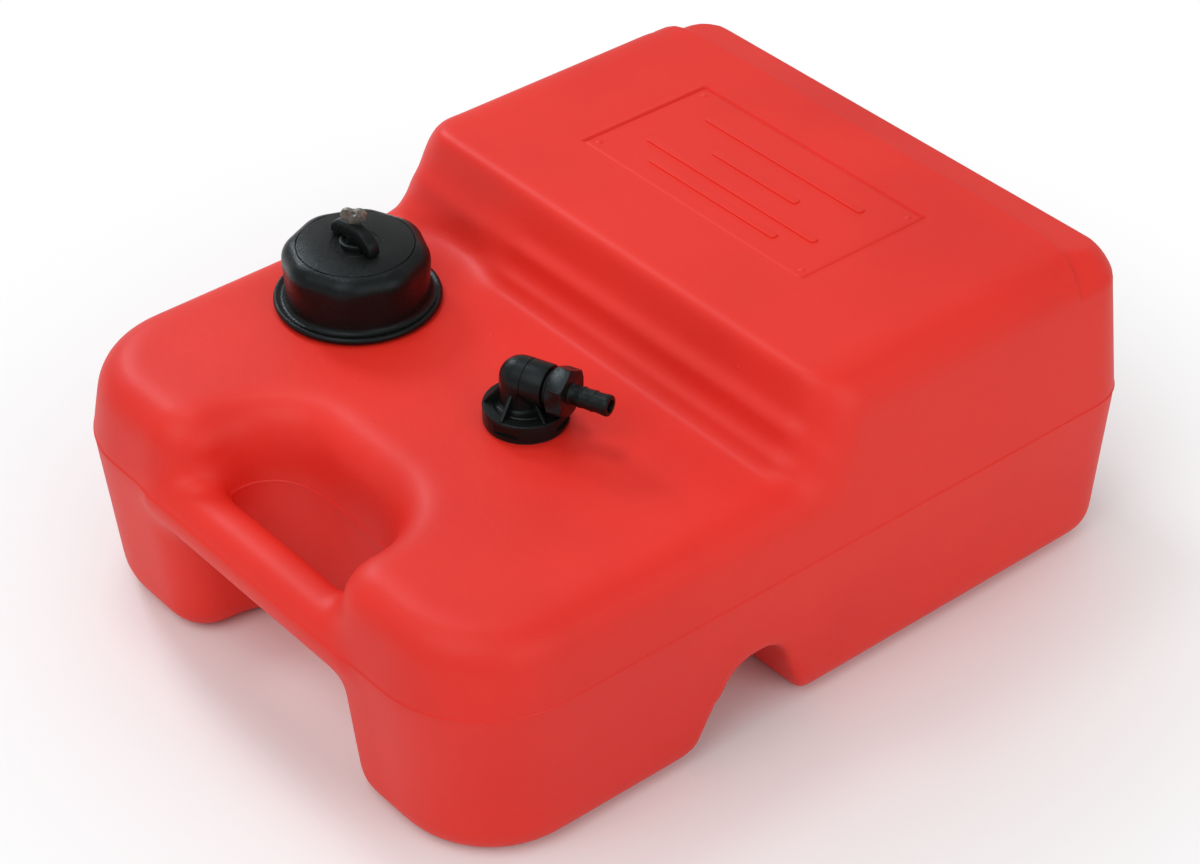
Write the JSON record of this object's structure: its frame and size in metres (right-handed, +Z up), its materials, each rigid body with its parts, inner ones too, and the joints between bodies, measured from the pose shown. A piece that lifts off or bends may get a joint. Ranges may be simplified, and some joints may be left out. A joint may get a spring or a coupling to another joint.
{
  "type": "outboard fuel tank",
  "caption": "Portable outboard fuel tank: low moulded shell with a raised rear, bar handle, locking filler cap and elbow outlet with hose barb.",
  "frame": {"origin": "on the ground, below the middle of the tank's length and width", "axes": "+Z is up, -Y is the front with the handle, +Y runs to the raised rear, +X is the right side seen from behind the tank"},
  "size_m": [0.3, 0.39, 0.1672],
  "materials": {
    "red_polyethylene": "satin moulded",
    "black_plastic": "satin moulded",
    "black_rubber": "matt",
    "natural_plastic": "satin",
    "strainer_net": "woven",
    "zinc_steel": "zinc plated",
    "key_metal": "worn nickel"
  },
  "bodies": {
    "tank": {"tank_shell": "red_polyethylene", "outlet_gasket": "black_rubber", "outlet_head": "black_plastic", "hose_tail": "black_plastic", "hose_tail_o_ring": "black_rubber", "pickup_tube": "natural_plastic", "strainer_cage": "natural_plastic", "strainer_mesh": "strainer_net", "strainer_end_cap": "natural_plastic"},
    "cap_seal": {"cap_gasket": "black_rubber"},
    "cap_vent": {"vent_valve": "black_rubber"},
    "cap_core": {"cap_insert": "black_plastic"},
    "cover": {"cap_cover": "black_plastic", "cap_top_disc": "black_plastic", "lock_barrel": "black_plastic", "lock_barrel_nut": "zinc_steel"},
    "lock": {"lock_knob": "black_plastic", "lock_cam": "zinc_steel", "lock_clip": "zinc_steel", "lock_seal": "black_rubber"},
    "key": {"key": "key_metal"}
  },
  "joints": [
    {"name": "cap_lift", "type": "slide", "parent": "tank", "child": "cap_seal", "axis": [0, 0, 1], "range_m": [0, 0.06]},
    {"name": "cap_rise", "type": "slide", "parent": "cap_seal", "child": "cap_vent", "axis": [0, 0, 1], "range_m": [0, 0.005]},
    {"name": "cap_unscrew", "type": "hinge", "parent": "cap_vent", "child": "cap_core", "pos_m": [-0.0875, -0.065, 0.126], "axis": [0, 0, 1], "range_deg": [0, 450]},
    {"name": "cover_spin", "type": "hinge", "parent": "cap_core", "child": "cover", "pos_m": [-0.0875, -0.065, 0.126], "axis": [0, 0, 1], "continuous": true},
    {"name": "key_turn", "type": "hinge", "parent": "cover", "child": "lock", "pos_m": [-0.0875, -0.065, 0.14], "axis": [0, 0, 1], "range_deg": [0, 90]},
    {"name": "key_pull", "type": "slide", "parent": "lock", "child": "key", "axis": [0, 0, 1], "range_m": [0, 0.02]}
  ],
  "couplings": [
    {"joint": "cap_rise", "follows": "cap_unscrew", "m_per_rad": 0.000636}
  ]
}
